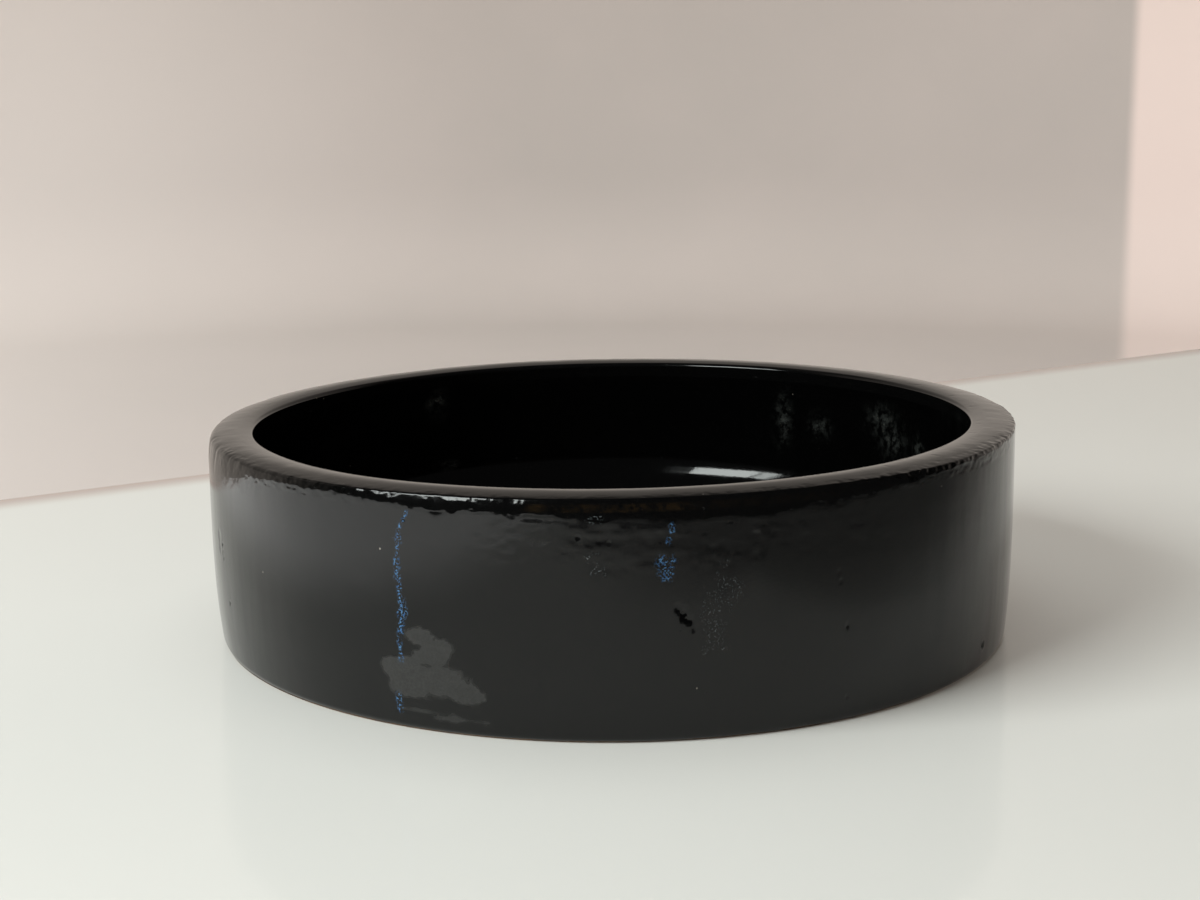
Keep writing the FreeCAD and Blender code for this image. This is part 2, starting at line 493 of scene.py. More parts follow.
# Where the glaze is satin instead of bright: an upper lobe and the main lobe, and a thin wedge of
# painted sheen, the window's reflection in the table as the foot mirrors it
SATIN = (
    (-23.9, 28.6, 5.6, 2.6),
    (-21.8, 26.4, 5.4, 2.6),
    (-22.6, 22.6, 6.4, 3.0),
    (-27.6, 19.0, 5.0, 2.6),
    (-25.6, 17.6, 8.4, 4.8),
    (-21.8, 16.0, 9.4, 5.4),
    (-18.0, 12.9, 5.4, 3.2),
    (-25.4, 12.6, 8.0, 3.0),
)
PAINTED_SHEEN = ((-24.5, 6.2, 9.0, 0.9), (-19.5, 4.9, 12.0, 1.0))

# Course of the blue streak down the outside: height and bearing
STREAK = (
    (5.0, -27.3),
    (10.0, -27.5),
    (22.2, -26.7),
    (26.6, -26.9),
    (30.2, -26.6),
    (34.1, -26.4),
    (38.4, -26.6),
    (44.2, -26.7),
    (48.5, -27.1),
    (51.5, -26.7),
    (54.3, -26.8),
    (58.7, -26.6),
    (62.6, -25.7),
    (66.0, -25.2),
)

# Ovals of blue flecks, of pale specks, of faint bloom and of darker glaze
BLUE_CLUSTERS = (
    (6.6, 61.8, 0.9, 1.3),
    (6.2, 58.2, 0.8, 1.1),
    (5.8, 52.0, 3.8, 2.2),
    (5.8, 48.4, 2.4, 2.6),
    (-26.6, 57.0, 1.5, 2.2),
    (-26.9, 50.0, 1.5, 2.8),
    (-26.8, 45.6, 1.5, 2.0),
    (-26.3, 35.6, 1.7, 3.2),
    (-26.6, 30.2, 1.4, 2.2),
)
PALE_CLUSTERS = (
    (-2.4, 64.4, 2.8, 1.5),
    (-2.9, 53.9, 2.0, 1.4),
    (-2.0, 50.6, 1.9, 1.6),
)
BLOOM = ((12.8, 43.0, 5.5, 6.0), (11.6, 33.0, 3.4, 6.0))
SMUDGE = ((14.0, 53.5, 11.0, 3.2), (-2.0, 58.0, 9.0, 1.6), (20.0, 60.0, 8.0, 2.0))

streak_heights, streak_places = zip(*STREAK)
streak_line = np.interp(level, streak_heights, streak_places)
from_streak = np.abs(np.radians(facing - streak_line) * RIM_RADIUS)
streak_width = 0.78 + 0.35 * noise(grid * (0, 0, 1), 3.0, 81)
streak = 1 - smooth_step(from_streak, streak_width * 0.45, streak_width * 1.25)
streak *= window(level, 21.5, 63.5, 2) + window(level, 5.5, 10.5, 1.2)
streak *= reach > INSIDE_RADIUS + 5
blue = np.maximum(streak, 0.75 * patch(BLUE_CLUSTERS, 0.45, 1.4, 83, 0.5))

satin_and_sheen = patch(SATIN, 0.2, 2.6, 85, 0.3)
satin_and_sheen *= 0.84 + 0.16 * noise(grid * (1, 1, 2.5), 1.6, 97)
# The thin wedge is painted sheen: a painted reflection of the window in the table, as the foot's
# curve would mirror it.
satin_and_sheen = np.maximum(satin_and_sheen, 0.6 * patch(PAINTED_SHEEN, 0.45, 5.0, 87, 0.6))
bloom = np.maximum(patch(BLOOM, 0.7, 3.0, 89) * 0.5, patch(PALE_CLUSTERS, 0.4, 1.8, 91))
smudge_and_crater_shade = patch(SMUDGE, 0.8, 4.0, 98)

# The burst's craters get painted shade, dark all over, so its share is more than the noise in the
# finish takes away
for place, height, radius, _ in BURST:
    distance = np.hypot(across(place), level - height) / radius
    smudge_and_crater_shade = np.maximum(smudge_and_crater_shade, 4 * (1 - smooth_step(distance, 0.8, 1.1)))

# Thin glaze that breaks amber on the shoulder, in front and to the right
amber = window(below_rim, 2.6, 4.0, 0.7) * (reach > RIM_RADIUS - 5)
amber = amber * (window(facing, -9.0, 7.5, 2.5) + 0.25 * window(facing, 8, 26, 4))
amber = amber * np.clip(0.65 + 0.9 * noise(grid * (1, 1, 0.6), 4.0, 93), 0, 1)

# Cloudy bloom on the inside of the wall, mostly on the right, as ovals too
CLOUDS = (
    (121.5, 54.0, 7.0, 5.0),
    (118.5, 48.5, 6.5, 5.5),
    (110.5, 47.0, 3.5, 4.0),
    (137.0, 48.2, 4.0, 4.0),
    (145.2, 49.0, 3.0, 8.0),
    (-145.2, 57.5, 4.0, 6.0),
    (-147.4, 31.3, 4.0, 1.8),
)
cloud = np.zeros(level.shape)
for place, height, half_width, half_height in CLOUDS:
    away = (facing - place + 180) % 360 - 180
    aside = np.radians(away) * INSIDE_RADIUS / half_width
    cloud = np.maximum(cloud, hump(np.hypot(aside, (level - height) / half_height), 1.0))
cloud *= inside_pot & (reach > INSIDE_RADIUS - 4)

MASKS = {
    "blue": blue,
    "satin_and_sheen": satin_and_sheen,
    "bloom": bloom,
    "smudge_and_crater_shade": smudge_and_crater_shade,
    "amber": amber,
    "cloud": cloud,
}


# Meshes


def new_object(name, points, faces):
    """Mesh object from points in millimetres and lists of corners, shaded smooth."""
    mesh = bpy.data.meshes.new(name)
    sizes = np.concatenate([np.full(len(block), block.shape[1]) for block in faces])
    corners = np.concatenate([block.ravel() for block in faces])
    mesh.vertices.add(len(points))
    mesh.vertices.foreach_set("co", (points * MM).astype(np.float32).ravel())
    mesh.loops.add(len(corners))
    mesh.loops.foreach_set("vertex_index", corners.astype(np.int32))
    mesh.polygons.add(len(sizes))
    starts = np.concatenate([[0], np.cumsum(sizes)[:-1]])
    mesh.polygons.foreach_set("loop_start", starts.astype(np.int32))
    mesh.update(calc_edges=True)
    mesh.validate()
    mesh.polygons.foreach_set("use_smooth", np.ones(len(sizes), dtype=bool))
    mesh.set_sharp_from_angle(angle=math.radians(50))
    made = bpy.data.objects.new(name, mesh)
    bpy.context.scene.collection.objects.link(made)
    return made


def band(first, second):
    """Quads between two rows of point numbers that close round the pot."""
    return np.stack([first, np.roll(first, -1), np.roll(second, -1), second], axis=-1)


def bands(numbers):
    """Quads between every two rows that follow one another in a grid of point numbers."""
    return [band(first, second) for first, second in zip(numbers, numbers[1:])]


def paint(made, masks):
    """Puts one value of each mask on every point of a mesh."""
    for name, values in masks.items():
        layer = made.data.attributes.new(name, "FLOAT", "POINT")
        layer.data.foreach_set("value", values.astype(np.float32))


def closed_ring(name, points):
    """Closed body that runs round the pot, from the rows of its section."""
    numbers = np.arange(points.shape[0] * points.shape[1]).reshape(points.shape[:2])
    faces = bands(numbers) + [band(numbers[-1], numbers[0])]
    return new_object(name, points.reshape(-1, 3), faces)


def ring_shell(name, first, last, back):
    """Closed coat of glaze from rows of the face and the rows of its back."""
    made = closed_ring(name, np.concatenate([glaze_face[first:last], back]))
    empty = np.zeros((len(back), COLUMNS))
    paint(made, {k: np.concatenate([v[first:last], empty]).ravel() for k, v in MASKS.items()})
    return made


def clay_outside(z):
    """Radius of the clay behind the outside glaze."""
    return outside(z) - WALL_COAT


# Clay behind the coats: its inside, the bevel of its inner edge, how far in from the outside
# its flat top ends, a corner under the shoulder, the least depth at which the rim's coat ends,
# and the leg of the corner coil
CLAY_INSIDE = INSIDE_RADIUS + WALL_COAT
CLAY_BEVEL = 1.4
CLAY_TOP_IN = 6.0
CLAY_EDGE_IN = 1.6
CLAY_EDGE_DOWN = 3.2
CLAY_LEAST_DOWN = 3.6
COIL_LEG = 10.0

# The wall's clay stands this far off the rim's coat. Its rows are at two heights, and its
# upper corner takes the outside's radius at a third.
CLAY_GAP = 0.05
CLAY_MIDDLE = 40.0
CLAY_HIGH = 57.0
CLAY_CORNER = 66.0

# Lower edge of the rim's coat, outside and inside, in each column
DIP_LOW = shoulder_low()
LINER_TOP = rim_height(INSIDE_RADIUS) - DIP_DEPTH_INSIDE


def level_row(height):
    """One height in every column."""
    return np.full(COLUMNS, height)


def clay_top():
    """Height of the clay under the rim's coats, in each column."""
    return rim_height(INSIDE_RADIUS + CREST_OUT) - OUTER_FALL - WALL_COAT


def section_rows(section):
    """Rows of points from the radius of each, and its height in every column."""
    return np.concatenate([rows(radius, height[None]) for radius, height in section])


def outer_back():
    """Back of the outside coat, from the shoulder down to the foot."""
    heights = DIP_LOW + (BARE_FOOT - DIP_LOW) * column(np.linspace(0, 1, OUTER_BACK_ROWS))
    short = np.clip(FOOT_BEVEL - heights, 0, None)
    return rows(clay_outside(heights) - short, heights)


def rim_back():
    """Back of the rim's coat, from the inside over the top and down to the shoulder."""
    top = clay_top()
    section = [
        (CLAY_INSIDE, LINER_TOP),
        (CLAY_INSIDE, top - CLAY_BEVEL),
        (CLAY_INSIDE + CLAY_BEVEL, top),
        (clay_outside(top) - CLAY_TOP_IN, top),
        (clay_outside(top) - CLAY_EDGE_IN, top - CLAY_EDGE_DOWN),
        (clay_outside(DIP_LOW), np.minimum(DIP_LOW, top - CLAY_LEAST_DOWN)),
    ]
    return section_rows(section)


def liner_back():
    """Back of the liner, from the floor out over the coil and up to the rim's coat."""
    section = [
        (INSIDE_RADIUS - CORNER_SWEEP, level_row(SLAB_TOP)),
        (CLAY_INSIDE - COIL_LEG, level_row(SLAB_TOP)),
        (CLAY_INSIDE, level_row(SLAB_TOP + COIL_LEG)),
        (CLAY_INSIDE, LINER_TOP),
    ]
    return section_rows(section)


outer_glaze = ring_shell("outer_glaze_coat", 0, OUTER_END, outer_back())
rim_glaze = ring_shell("rim_glaze_dip", OUTER_END - 1, RIM_END, rim_back())
liner_glaze = ring_shell("liner_glaze_coat", RIM_END - 1, LINER_END, liner_back())


def floor_disc(name):
    """Closed disc of glaze for the floor, with fewer columns than the wall round it."""
    edge = glaze_face[LINER_END - 1]
    inner = glaze_face[LINER_END:FLOOR_END, ::FLOOR_SHARE]
    few = inner.shape[1]
    middle = inner[-1].mean(axis=0)
    low_edge = edge * (1, 1, 0) + (0, 0, SLAB_TOP)
    points = np.concatenate(
        [edge, inner.reshape(-1, 3), [middle], low_edge, [(0, 0, SLAB_TOP)]]
    )
    edge_numbers = np.arange(COLUMNS)
    inner_numbers = COLUMNS + np.arange(len(inner) * few).reshape(-1, few)
    middle_number = COLUMNS + len(inner) * few
    low_numbers = middle_number + 1 + np.arange(COLUMNS)
    last = low_numbers[-1] + 1
    joined = [np.roll(edge_numbers, -i)[::FLOOR_SHARE] for i in range(FLOOR_SHARE + 1)]
    joined += [np.roll(inner_numbers[0], -1), inner_numbers[0]]
    faces = [np.stack(joined, axis=-1)]
    faces += bands(inner_numbers)
    end = inner_numbers[-1]
    faces.append(np.stack([end, np.roll(end, -1), np.full(few, middle_number)], axis=-1))
    faces.append(band(low_numbers, edge_numbers))
    faces.append(
        np.stack([np.roll(low_numbers, -1), low_numbers, np.full(COLUMNS, last)], axis=-1)
    )
    made = new_object(name, points, faces)
    paint(made, {mask: np.zeros(len(points)) for mask in MASKS})
    return made


floor_glaze = floor_disc("floor_glaze_pool")


def wall_clay(name):
    """Clay of the wall, which leans at the top as its glaze does."""
    top = clay_top() - CLAY_GAP
    corner = clay_outside(CLAY_CORNER)
    section = [
        (clay_outside(SLIP_TOP), level_row(SLIP_TOP)),
        (clay_outside(CLAY_MIDDLE), level_row(CLAY_MIDDLE)),
        (clay_outside(CLAY_HIGH) - CLAY_GAP, level_row(CLAY_HIGH)),
        (corner - CLAY_EDGE_IN - CLAY_GAP, top - CLAY_EDGE_DOWN - 2 * CLAY_GAP),
        (corner - CLAY_TOP_IN - 2 * CLAY_GAP, top),
        (CLAY_INSIDE + CLAY_BEVEL + CLAY_GAP, top),
        (CLAY_INSIDE, top - CLAY_BEVEL - CLAY_GAP),
        (CLAY_INSIDE, level_row(CLAY_MIDDLE)),
        (CLAY_INSIDE, level_row(SLIP_TOP)),
    ]
    return closed_ring(name, section_rows(section)[:, ::CLAY_SHARE])


# The slab: radius of the fan in its middle, and the pitch and depth of its tool rings
FAN_RADIUS = 2.0
RING_PITCH = 2.6
RING_DEPTH = 0.12


def foot_clay(name):
    """Clay slab of the foot, with the turned recess and its tool rings underneath."""
    low_outside = clay_outside(FOOT_BEVEL) - FOOT_BEVEL
    recess = clay_outside(0.0) - FOOT_WIDTH
    corners = [(FAN_RADIUS, RECESS_DEPTH)]
    corners += [(r, RECESS_DEPTH) for r in np.linspace(4.0, recess - 0.4, 90)]
    corners += [(recess, RECESS_DEPTH - 0.3), (recess, RECESS_BEVEL)]
    corners += [(recess + RECESS_BEVEL * s, RECESS_BEVEL * (1 - s)) for s in (0.35, 0.7, 0.95)]
    corners += [(r, 0.0) for r in np.linspace(recess + RECESS_BEVEL + 0.3, low_outside - 0.4, 16)]
    corners += [(low_outside, 0.05), (low_outside + 0.65 * FOOT_BEVEL, 0.35 * FOOT_BEVEL)]
    corners.append((clay_outside(FOOT_BEVEL), FOOT_BEVEL))
    corners += [(r, SLAB_TOP) for r in (clay_outside(SLAB_TOP), 60.0, FAN_RADIUS)]
    radii = column([r for r, z in corners])
    heights = column([z for r, z in corners])
    points = rows(radii, heights + np.zeros((1, COLUMNS)))[:, ::CLAY_SHARE]
    out = np.hypot(points[..., 0], points[..., 1])
    under = window(out, 6, recess - 2, 3) * (points[..., 2] < RECESS_DEPTH + 0.1)
    turned = np.sin(out / RING_PITCH * 2 * math.pi + np.arctan2(points[..., 1], points[..., 0]))
    points[..., 2] -= under * RING_DEPTH * (turned + 1 + noise(points, 6.0, 95))
    contact = window(out, recess + 2.2, low_outside - 0.8, 0.6) * (points[..., 2] < 0.05)
    points[..., 2] += contact * np.clip(0.05 + 0.1 * noise(points, 3.0, 96), 0, None)
    count = points.shape[1]
    points = np.concatenate([points.reshape(-1, 3), [(0, 0, RECESS_DEPTH), (0, 0, SLAB_TOP)]])
    numbers = np.arange(len(corners) * count).reshape(-1, count)
    faces = bands(numbers)
    low_middle, high_middle = len(points) - 2, len(points) - 1
    first, final = numbers[0], numbers[-1]
    faces.append(np.stack([np.roll(first, -1), first, np.full(count, low_middle)], axis=-1))
    faces.append(np.stack([final, np.roll(final, -1), np.full(count, high_middle)], axis=-1))
    return new_object(name, points, faces)


clay_wall = wall_clay("wall_clay_ring")
clay_foot = foot_clay("foot_clay_slab")


# Materials


class Finish:
    """A material, and short ways to add nodes to it."""

    def __init__(self, name):
        self.material = bpy.data.materials.new(name)
        self.material.use_nodes = True
        self.tree = self.material.node_tree
        self.shader = self.tree.nodes["Principled BSDF"]
        self.place = self.node("ShaderNodeTexCoord").outputs["Object"]

    def node(self, kind, **settings):
        """A new node with these settings."""
        made = self.tree.nodes.new(kind)
        for key, value in settings.items():
            setattr(made, key, value)
        return made

    def feed(self, socket, value):
        """Links a node's output to a socket, or sets a plain value on it."""
        if isinstance(value, bpy.types.NodeSocket):
            self.tree.links.new(value, socket)
        else:
            socket.default_value = value

    def noise(self, size, detail, roughness, shift=0.0):
        """Noise from 0 to 1 with lumps of this size in millimetres."""
        place = self.node("ShaderNodeMapping")
        self.feed(place.inputs["Vector"], self.place)
        place.inputs["Location"].default_value = (shift, shift * 0.7, -shift)
        made = self.node("ShaderNodeTexNoise")
        self.feed(made.inputs["Vector"], place.outputs["Vector"])
        made.inputs["Scale"].default_value = 1 / (size * MM)
        made.inputs["Detail"].default_value = detail
        made.inputs["Roughness"].default_value = roughness
        return made.outputs["Fac"]

    def dots(self, size, radius_share, shift=0.0):
        """Round dots, one to each cell of this size in millimetres."""
        place = self.node("ShaderNodeMapping")
        self.feed(place.inputs["Vector"], self.place)
        place.inputs["Location"].default_value = (shift, -shift, shift * 0.3)
        made = self.node("ShaderNodeTexVoronoi")
        self.feed(made.inputs["Vector"], place.outputs["Vector"])
        made.inputs["Scale"].default_value = 1 / (size * MM)
        return self.ramp(made.outputs["Distance"], radius_share, radius_share * 0.55)

    def ramp(self, value, low, high, start=0.0, end=1.0):
        """Smooth rise from start at low to end at high."""
        made = self.node("ShaderNodeMapRange", interpolation_type="SMOOTHSTEP")
        self.feed(made.inputs["Value"], value)
        made.inputs["From Min"].default_value = low
        made.inputs["From Max"].default_value = high
        made.inputs["To Min"].default_value = start
        made.inputs["To Max"].default_value = end
        return made.outputs["Result"]

    def math(self, operation, first, second):
        """What one operation makes of two values."""
        made = self.node("ShaderNodeMath", operation=operation)
        self.feed(made.inputs[0], first)
        self.feed(made.inputs[1], second)
        return made.outputs["Value"]

    def times(self, *values):
        """Product of the values."""
        total = values[0]
        for value in values[1:]:
            total = self.math("MULTIPLY", total, value)
        return total

    def plus(self, *values):
        """Sum of the values."""
        total = values[0]
        for value in values[1:]:
            total = self.math("ADD", total, value)
        return total

    def blend(self, share, first, second):
        """Colour from the first at share 0 to the second at share 1."""
        made = self.node("ShaderNodeMix", data_type="RGBA")
        self.feed(made.inputs["Factor"], share)
        self.feed(made.inputs["A"], first)
        self.feed(made.inputs["B"], second)
        return made.outputs["Result"]

    def mask(self, name):
        """One of the masks painted on the mesh."""
        return self.node("ShaderNodeAttribute", attribute_name=name).outputs["Fac"]

    def bump(self, height, distance, under=None):
        """Bumps this many millimetres high, on top of others."""
        made = self.node("ShaderNodeBump")
        made.inputs["Strength"].default_value = 1.0
        made.inputs["Distance"].default_value = distance * MM
        self.feed(made.inputs["Height"], height)
        if under is not None:
            self.feed(made.inputs["Normal"], under)
        return made.outputs["Normal"]


def rgba(*colour):
    """A colour in the shader's own numbers."""
    return (*colour, 1.0)


def linear(red, green, blue):
    """A colour as it looks on a screen, 0 to 255, as the shader's own numbers."""
    shares = [c / 255 for c in (red, green, blue)]
    return rgba(*[s / 12.92 if s <= 0.04045 else ((s + 0.055) / 1.055) ** 2.4 for s in shares])


def glaze_finish(name, roughness, body):
    """Black glaze: bright, with satin, blue, amber and cloudy places and fine specks, painted sheen
    near the foot and painted shade in the burst's craters.

    The body is how much light the plain glaze gives back.
    """
    made = Finish(name)
    cloudy = made.ramp(made.noise(26, 4, 0.6), 0.36, 0.70)
    fine = made.ramp(made.noise(0.6, 3, 0.6, shift=0.6), 0.28, 0.74)
    thin = [share * body for share in (1.50, 1.58, 1.54)]
    thick = [share * body for share in (0.42, 0.46, 0.48)]
    colour = made.blend(fine, rgba(*thick), rgba(*thin))
    colour = made.blend(made.times(cloudy, 0.5), colour, rgba(*[c * 0.5 for c in thin]))

    # Darker glaze in the smudges, and painted shade all over the burst's craters.
    broken = made.ramp(made.noise(2.0, 3, 0.6, shift=0.1), 0.35, 0.6)
    smudge_and_shade_share = made.times(made.mask("smudge_and_crater_shade"), broken)
    colour = made.blend(made.times(smudge_and_shade_share, 0.9), colour, rgba(0.0003, 0.0004, 0.0004))

    mottled = made.ramp(made.noise(1.6, 3, 0.6, shift=0.2), 0.34, 0.60)
    amber = made.times(made.mask("amber"), mottled)
    colour = made.blend(amber, colour, linear(23, 17, 8))

    # Satin places and the painted sheen near the foot take a paler grey.
    satin_and_sheen = made.mask("satin_and_sheen")
    grainy = made.ramp(made.noise(0.7, 3, 0.7, shift=0.8), 0.3, 0.7)
    satin_and_sheen_grey = made.blend(grainy, linear(40, 41, 40), linear(52, 53, 52))
    colour = made.blend(satin_and_sheen, colour, satin_and_sheen_grey)

    speckle = made.ramp(made.noise(0.6, 2, 0.6, shift=0.5), 0.50, 0.60)
    blue = made.times(made.mask("blue"), speckle)
    paler = made.ramp(made.noise(0.9, 2, 0.6, shift=1.1), 0.4, 0.65)
    tint = made.blend(paler, linear(36, 74, 116), linear(70, 114, 152))
    colour = made.blend(blue, colour, tint)

    dust = made.ramp(made.noise(0.55, 2, 0.7, shift=0.9), 0.58, 0.70)
    bloom = made.times(made.mask("bloom"), dust)
    colour = made.blend(bloom, colour, linear(96, 104, 106))

    faint_dots = made.times(made.dots(13.0, 0.026), 0.5)
    dots = made.plus(faint_dots, made.times(made.dots(23.0, 0.018, 0.4), 0.8))
    colour = made.blend(dots, colour, linear(150, 148, 138))

    wisps = made.ramp(made.noise(3.2, 4, 0.7, shift=0.7), 0.42, 0.66)
    cloud = made.times(made.mask("cloud"), wisps)
    colour = made.blend(cloud, colour, linear(38, 41, 39))
    made.feed(made.shader.inputs["Base Color"], colour)

    gloss = made.ramp(made.noise(9, 3, 0.6), 0.3, 0.75, roughness, roughness + 0.05)
    gloss = made.plus(gloss, made.times(satin_and_sheen, 0.28), made.times(cloud, 0.2), made.times(blue, 0.2))
    made.feed(made.shader.inputs["Roughness"], gloss)
    made.shader.inputs["IOR"].default_value = 1.39

    grain = made.bump(made.noise(1.2, 3, 0.55), 0.012)
    pits = made.bump(made.dots(9.0, 0.035, 0.8), -0.10, grain)
    pebble = made.bump(made.times(satin_and_sheen, made.noise(0.35, 2, 0.5, shift=0.3)), 0.02, pits)
    made.feed(made.shader.inputs["Normal"], pebble)
    return made.material


def clay_finish(name):
    """Bare stoneware, fired brown, with iron specks and a fine sandy grain."""
    made = Finish(name)
    tone = made.ramp(made.noise(14, 4, 0.6), 0.35, 0.7)
    colour = made.blend(tone, linear(104, 80, 58), linear(78, 58, 42))
    grain = made.noise(0.7, 3, 0.6)
    colour = made.blend(made.ramp(grain, 0.55, 0.75), colour, linear(60, 44, 33))
    colour = made.blend(made.dots(2.8, 0.16), colour, linear(34, 25, 20))
    made.feed(made.shader.inputs["Base Color"], colour)
    made.feed(made.shader.inputs["Roughness"], made.ramp(grain, 0.3, 0.7, 0.72, 0.92))
    made.feed(made.shader.inputs["Normal"], made.bump(grain, 0.12))
    return made.material


def dress(made, finish):
    """Gives a mesh one material."""
    made.data.materials.clear()
    made.data.materials.append(finish)


# The inside takes the same black glaze with a darker body, as painted shade for the inside of the
# pot.
black_glaze = glaze_finish("black_glaze", roughness=0.08, body=0.0049)
shaded_inner_glaze = glaze_finish("shaded_inner_glaze", roughness=0.07, body=0.0007)
rim_finish = glaze_finish("rim_glaze", roughness=0.09, body=0.0014)
stoneware = clay_finish("stoneware")

for made, replaced, finish, slot in (
    (outer_glaze, "outer_glaze", black_glaze, "black_glaze"),
    (rim_glaze, "rim_glaze", rim_finish, "rim_glaze"),
    (liner_glaze, "liner_glaze", shaded_inner_glaze, "black_glaze"),
    (floor_glaze, "floor_glaze", shaded_inner_glaze, "black_glaze"),
    (clay_wall, "wall_ring", stoneware, "fired_clay"),
    (clay_foot, "base_slab", stoneware, "fired_clay"),
):
    dress(made, finish)
    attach(made, "root")
    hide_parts(replaced)

for name in ("joint_slip", "corner_coil"):
    dress(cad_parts[name], stoneware)


# Studio

# Where the camera stands, how fast its view of the table widens, where that view starts, and
# how fast the line to the corner of the walls moves out behind the pot, in metres
CAMERA_PLACE = Vector((-0.00386, -0.6242, 0.18143))
VIEW_SPREAD = 0.335
VIEW_FRONT = -0.240
CORNER_SPREAD = 0.282

# The table ends at its back along this line, as two far points, and in front of the pot
TABLE_BACK = ((-900.0, -223.0), (900.0, 939.0))
TABLE_FRONT = -520.0
TABLE_SIDE = 900.0
TABLE_THICK = 30.0


def staged(name, points, faces):
    """Mesh of the studio, from points in millimetres and lists of corners."""
    mesh = bpy.data.meshes.new(name)
    mesh.from_pydata([[c * MM for c in point] for point in points], [], faces)
    made = bpy.data.objects.new(name, mesh)
    bpy.context.scene.collection.objects.link(made)
    return made


def slab(name, outline, low, high):
    """Flat block from an outline."""
    count = len(outline)
    points = [(x, y, z) for z in (low, high) for x, y in outline]
    ring = list(range(count))
    faces = [ring[::-1], [number + count for number in ring]]
    for number in ring:
        after = (number + 1) % count
        faces.append([number, after, after + count, number + count])
    return staged(name, points, faces)


def sweep_backdrop(name, radius, cove, low, high):
    """Round paper backdrop: a floor that curves up into a wall all round."""
    section = [(0.0, low), (radius - cove, low)]
    for angle in np.radians(np.linspace(0, 90, 16)[1:]):
        across = radius - cove + cove * math.sin(angle)
        section.append((across, low + cove - cove * math.cos(angle)))
    section.append((radius, high))
    around = np.radians(np.arange(0, 360, 3))
    points = [(r * math.sin(a), -r * math.cos(a), z) for r, z in section for a in around]
    numbers = np.arange(len(points)).reshape(len(section), len(around))
    quads = [band(after, before) for before, after in zip(numbers, numbers[1:])]
    made = staged(name, points, np.concatenate(quads).tolist())
    for polygon in made.data.polygons:
        polygon.use_smooth = True
    return made


table_front = [(-TABLE_SIDE, TABLE_FRONT), (TABLE_SIDE, TABLE_FRONT)]
table = slab("table", table_front + [TABLE_BACK[1], TABLE_BACK[0]], -TABLE_THICK, 0.0)
backdrop = sweep_backdrop("backdrop", radius=1300.0, cove=300.0, low=-TABLE_THICK, high=900.0)
backdrop.visible_glossy = False
backdrop.visible_shadow = False


def table_finish():
    """White lacquer, with a painted shadow along its back edge, painted shade outside the picture
    to the right and in front, and a painted glow on its left that only reflections see.
    """
    made = Finish("white_lacquer")
    parts = made.node("ShaderNodeSeparateXYZ")
    made.feed(parts.inputs["Vector"], made.place)
    x, y = parts.outputs["X"], parts.outputs["Y"]
    half_view = made.plus(made.times(y, VIEW_SPREAD), -CAMERA_PLACE.y * VIEW_SPREAD)
    past_left = made.math("SUBTRACT", made.times(x, -1.0), half_view)
    past_right = made.math("SUBTRACT", x, half_view)
    past_front = made.math("SUBTRACT", VIEW_FRONT, y)
    # Painted shade on the table outside the picture, to the right and in front, which the glaze
    # mirrors.
    unseen = made.ramp(made.math("MAXIMUM", past_right, past_front), 0.0, 0.05)
    to_right = made.plus(made.times(x, 0.77), made.times(past_front, 0.64))
    dark = made.times(unseen, made.ramp(to_right, 0.0, 0.18), 0.64)
    white = made.blend(dark, linear(222, 226, 220), rgba(0.02, 0.02, 0.02))

    # Painted shadow along the table's back edge, where the wall would shade it.
    (x0, y0), (x1, y1) = TABLE_BACK
    length = math.hypot(x1 - x0, y1 - y0)
    from_back = made.math(
        "SUBTRACT",
        made.times(made.plus(x, -x0 * MM), (y1 - y0) / length),
        made.times(made.plus(y, -y0 * MM), (x1 - x0) / length),
    )
    back_edge_shadow = made.ramp(from_back, 0.024, 0.002)
    white = made.blend(back_edge_shadow, white, linear(186, 172, 164))
    made.feed(made.shader.inputs["Base Color"], white)
    made.feed(made.shader.inputs["Roughness"], 0.09)

    # Painted glow on the table's left, outside the picture, that only reflections see.
    mirrored = made.node("ShaderNodeLightPath").outputs["Is Glossy Ray"]
    painted_glow = made.times(mirrored, made.ramp(past_left, 0.0, 0.13), 0.86)
    made.feed(made.shader.inputs["Emission Color"], rgba(1, 1, 1))
    made.feed(made.shader.inputs["Emission Strength"], painted_glow)
    return made.material


def paper_finish():
    """Beige paper, with painted light that makes it paler to the left and lighter and warmer low
    down, and paler past the corner of the walls.
    """
    made = Finish("beige_paper")
    mottle = made.ramp(made.noise(260, 3, 0.5), 0.3, 0.7)
    shade = made.blend(mottle, linear(183, 176, 170), linear(178, 172, 166))
    parts = made.node("ShaderNodeSeparateXYZ")
    made.feed(parts.inputs["Vector"], made.place)
    x, y, z = [parts.outputs[axis] for axis in "XYZ"]
    # Painted light: paler to the left, where the window's light falls more.
    painted_light_left = made.ramp(x, -0.10, -0.60)
    from_corner = made.times(y, -CORNER_SPREAD)
    from_corner = made.plus(from_corner, x, CAMERA_PLACE.y * CORNER_SPREAD)
    right_side = made.ramp(from_corner, -0.008, 0.006)
    # Painted light: lighter and warmer low down.
    painted_light_low = made.ramp(z, 0.10, -0.02, 0.0, 0.19)
    shade = made.blend(painted_light_left, shade, linear(206, 200, 194))
    shade = made.blend(right_side, shade, linear(226, 211, 203))
    shade = made.blend(painted_light_low, shade, rgba(1.0, 0.93, 0.86))
    made.feed(made.shader.inputs["Base Color"], shade)
    made.feed(made.shader.inputs["Roughness"], 0.95)
    return made.material


dress(table, table_finish())
dress(backdrop, paper_finish())


